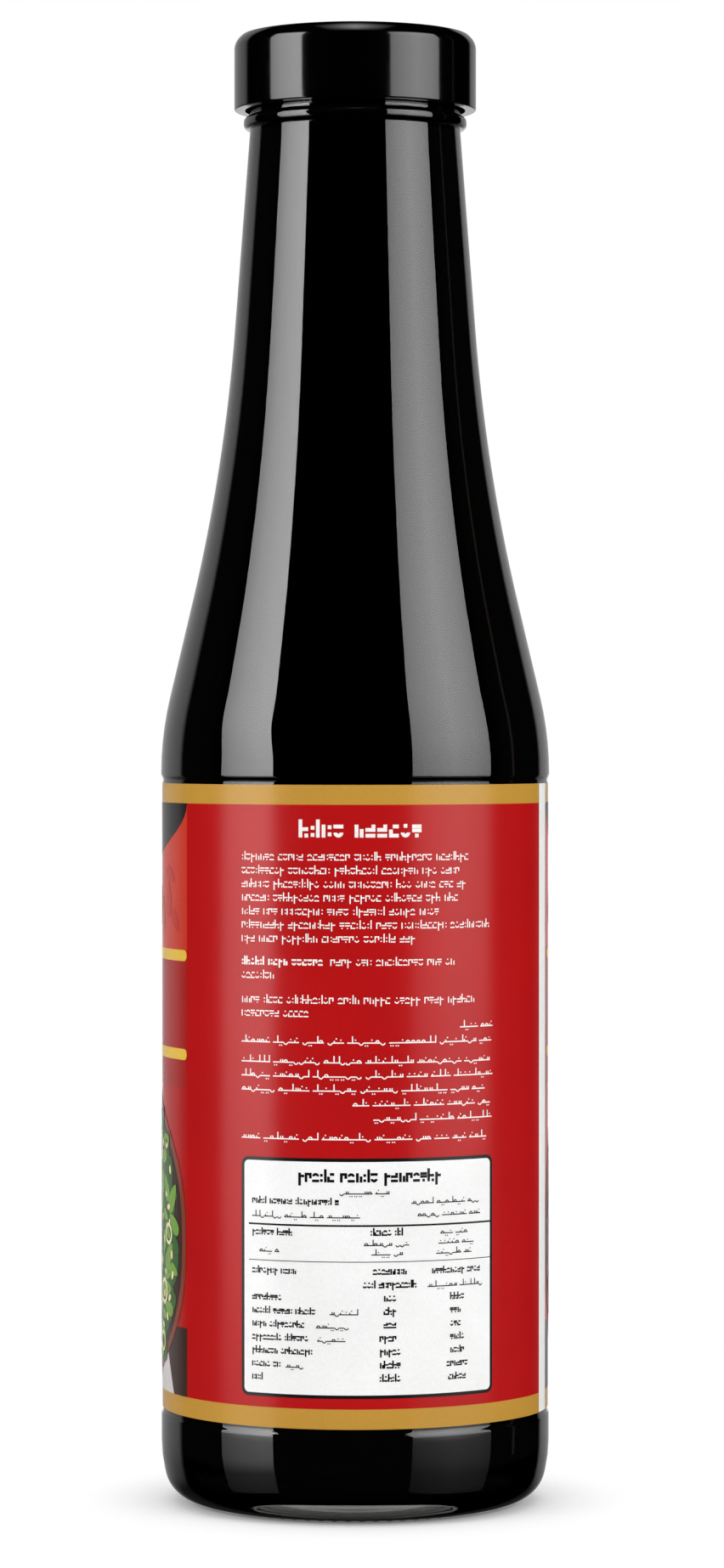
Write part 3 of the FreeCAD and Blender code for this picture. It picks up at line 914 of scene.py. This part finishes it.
BACKDROP_WAY = (-0.139, 0.990, 0.0)  # the lit backdrop stands a little to the left
AMBIENT, SIDELONG = 0.30, 0.5  # light from all round, and the backdrop's dim part
world = bpy.data.worlds.new("studio")
world.use_nodes = True
bpy.context.scene.world = world
tree = world.node_tree
tree.nodes.clear()
toward = node(tree, "ShaderNodeTexCoord").outputs["Generated"]
facing = node(tree, "ShaderNodeVectorMath", "DOT_PRODUCT", [toward, BACKDROP_WAY]).outputs["Value"]
behind = node(tree, RANGE, SMOOTH, {"Value": facing, "From Min": 0.655, "From Max": 0.74})
spot = node(tree, "ShaderNodeSeparateXYZ", inputs=[toward])
straight = node(tree, RANGE, inputs={
    "Value": spot.outputs["Y"], "From Min": 0.96, "From Max": 0.985, "To Min": SIDELONG, "To Max": 1.0})
below = node(tree, MATH, "LESS_THAN", [spot.outputs["Z"], -0.02])
lower = node(tree, MIX, NUMBERS, {0: below, 2: SIDELONG, 3: straight})
underside = node(tree, RANGE, SMOOTH, {
    "Value": spot.outputs["Z"], "From Min": -0.42, "From Max": -0.04, "To Min": 0.06, "To Max": 1.0})
for factor in (lower, underside):
    behind = node(tree, MATH, "MULTIPLY", [behind, factor])
rays = node(tree, "ShaderNodeLightPath")
ahead = node(tree, RANGE, SMOOTH, {"Value": spot.outputs["Y"], "From Min": 0.0, "From Max": 0.3})
through = node(tree, MATH, "MULTIPLY", [rays.outputs["Is Transmission Ray"], ahead])
plain = node(tree, MATH, "MAXIMUM", [rays.outputs["Is Camera Ray"], through])
mirrored = node(tree, MIX, NUMBERS, {0: rays.outputs["Is Glossy Ray"], 2: AMBIENT, 3: behind})
level = node(tree, MIX, NUMBERS, {0: plain, 2: mirrored, 3: 1.0})
sky = node(tree, "ShaderNodeBackground", inputs={"Color": (1, 1, 1, 1), "Strength": level})
node(tree, "ShaderNodeOutputWorld", inputs={"Surface": sky})

# %% [markdown]
# Two tall soft boxes at the sides draw the long upright highlights, a third overhead lights the
# cap's bevel, and a thin brown card at the right gives the glass a warm line. They only show in
# reflections; broad lamps light the colours evenly, which keeps the label flat and readable. A
# box's fades are pairs of a place, from 0 to 1, and a strength, across it and then up it.

# %% Soft boxes and lamps
def soft_box(name, azimuth, elevation, distance, wide, tall, radiance, shows,
             fades=None, height=0.12, foot=0.0):
    """A flat lamp that faces the axis. Its lower half stands aside by the foot, a share of its width."""
    lamp = bpy.data.lights.new(name, "AREA")
    lamp.shape = "RECTANGLE"
    lamp.size, lamp.size_y = wide, tall
    lamp.energy = radiance * math.pi * wide * tall
    if fades is not None:
        lamp.use_nodes = True
        tree = lamp.node_tree
        spot = node(tree, "ShaderNodeSeparateXYZ", inputs=[
            node(tree, "ShaderNodeNewGeometry").outputs["Parametric"]])
        stepped = node(tree, RANGE, SMOOTH, {
            "Value": spot.outputs["Y"], "From Min": 0.42, "From Max": 0.56, "To Min": foot, "To Max": 0.0})
        shifted = node(tree, MATH, "SUBTRACT", [spot.outputs["X"], stepped])
        panel = node(tree, MATH, "DIVIDE", [shifted, 1 - foot])
        ramps = []
        for along, stops in zip((panel, spot.outputs["Y"]), fades):
            ramp = node(tree, "ShaderNodeValToRGB", inputs=[along])
            while len(ramp.color_ramp.elements) < len(stops):
                ramp.color_ramp.elements.new(0.5)
            for element, (place, value) in zip(ramp.color_ramp.elements, stops):
                element.position = place
                element.color = (value, value, value, 1)
            ramps.append(ramp)
        cloth = node(tree, MIX, {"data_type": "RGBA", "blend_type": "MULTIPLY"}, {
            "Factor": 1.0, 6: ramps[0], 7: ramps[1]})
        feed(tree.nodes["Emission"], {"Color": cloth.outputs[2]})
    holder = staged(name, lamp)
    a, e = math.radians(azimuth), math.radians(elevation)
    way = Vector((math.sin(a) * math.cos(e), -math.cos(a) * math.cos(e), math.sin(e)))
    holder.location = Vector((0, 0, height)) + way * distance
    holder.rotation_euler = way.to_track_quat("Z", "Y").to_euler()
    holder.visible_camera = False
    holder.visible_diffuse = shows == "diffuse"
    holder.visible_glossy = shows == "glossy"
    holder.visible_transmission = False
    return holder


# Below the table's level only the boxes' own dim reflections go on, so both fade out there.
LEFT_ACROSS = [(0.0, 0.0), (0.002, 0.46), (0.35, 0.74), (0.75, 0.95), (0.998, 1.0), (1.0, 0.0)]
LEFT_UP = [(0.0, 0.02), (0.15, 0.045), (0.22, 0.17), (0.27, 0.22), (0.31, 0.76), (0.55, 0.95),
           (0.78, 1.0), (0.84, 0.0)]
RIGHT_ACROSS = [(0.0, 0.6), (0.22, 0.8), (0.5, 1.0), (0.78, 0.8), (1.0, 0.56)]
RIGHT_UP = [(0.0, 0.02), (0.15, 0.04), (0.22, 0.07), (0.27, 0.1), (0.31, 0.56), (0.5, 0.85),
            (0.78, 1.0), (0.84, 0.0)]
OVER_ACROSS = [(0.0, 0.0), (0.25, 0.35), (0.5, 1.0), (0.75, 0.35), (1.0, 0.0)]
OVER_UP = [(0.0, 0.0), (0.25, 0.6), (0.5, 1.0), (0.75, 0.6), (1.0, 0.0)]
soft_box("left_soft_box", -67.9, 0.0, 0.9, 0.637, 1.62, 8.4, "glossy", (LEFT_ACROSS, LEFT_UP),
         0.29, foot=0.082)
soft_box("right_soft_box", 59.8, 0.0, 0.9, 0.895, 1.62, 6.4, "glossy", (RIGHT_ACROSS, RIGHT_UP), 0.29)
soft_box("overhead_soft_box", 0.0, 68.0, 0.9, 0.8, 1.0, 5.2, "glossy", (OVER_ACROSS, OVER_UP), 0.24)
brown_card = soft_box("brown_card", 106.2, 0.0, 0.9, 0.036, 0.9, 0.11, "glossy", height=0.3)
brown_card.data.color = (1.0, 0.78, 0.62)
soft_box("left_lamp", -58.0, 22.0, 1.1, 0.6, 0.9, 2.95, "diffuse")
soft_box("right_lamp", 56.0, 22.0, 1.1, 0.6, 0.9, 3.05, "diffuse")
soft_box("top_lamp", 0.0, 88.0, 1.0, 1.2, 1.2, 1.9, "diffuse")

# %% [markdown]
# The camera stands just above half the bottle's height and looks a hair down, a little under a
# metre away, with a long lens, so the bottle keeps its true proportions.

# %% The camera
camera = bpy.data.cameras.new("camera")
camera.lens = 118.52  # millimetres, for the sensor's width
camera.sensor_width = 36.0
LOOK_DOWN = 0.6825  # degrees
holder = staged("camera", camera)
holder.location = (0.00112, -0.850, 0.128)
holder.rotation_euler = (math.radians(90 - LOOK_DOWN), 0, 0)
bpy.context.scene.camera = holder
bpy.context.scene.view_settings.view_transform = "Standard"
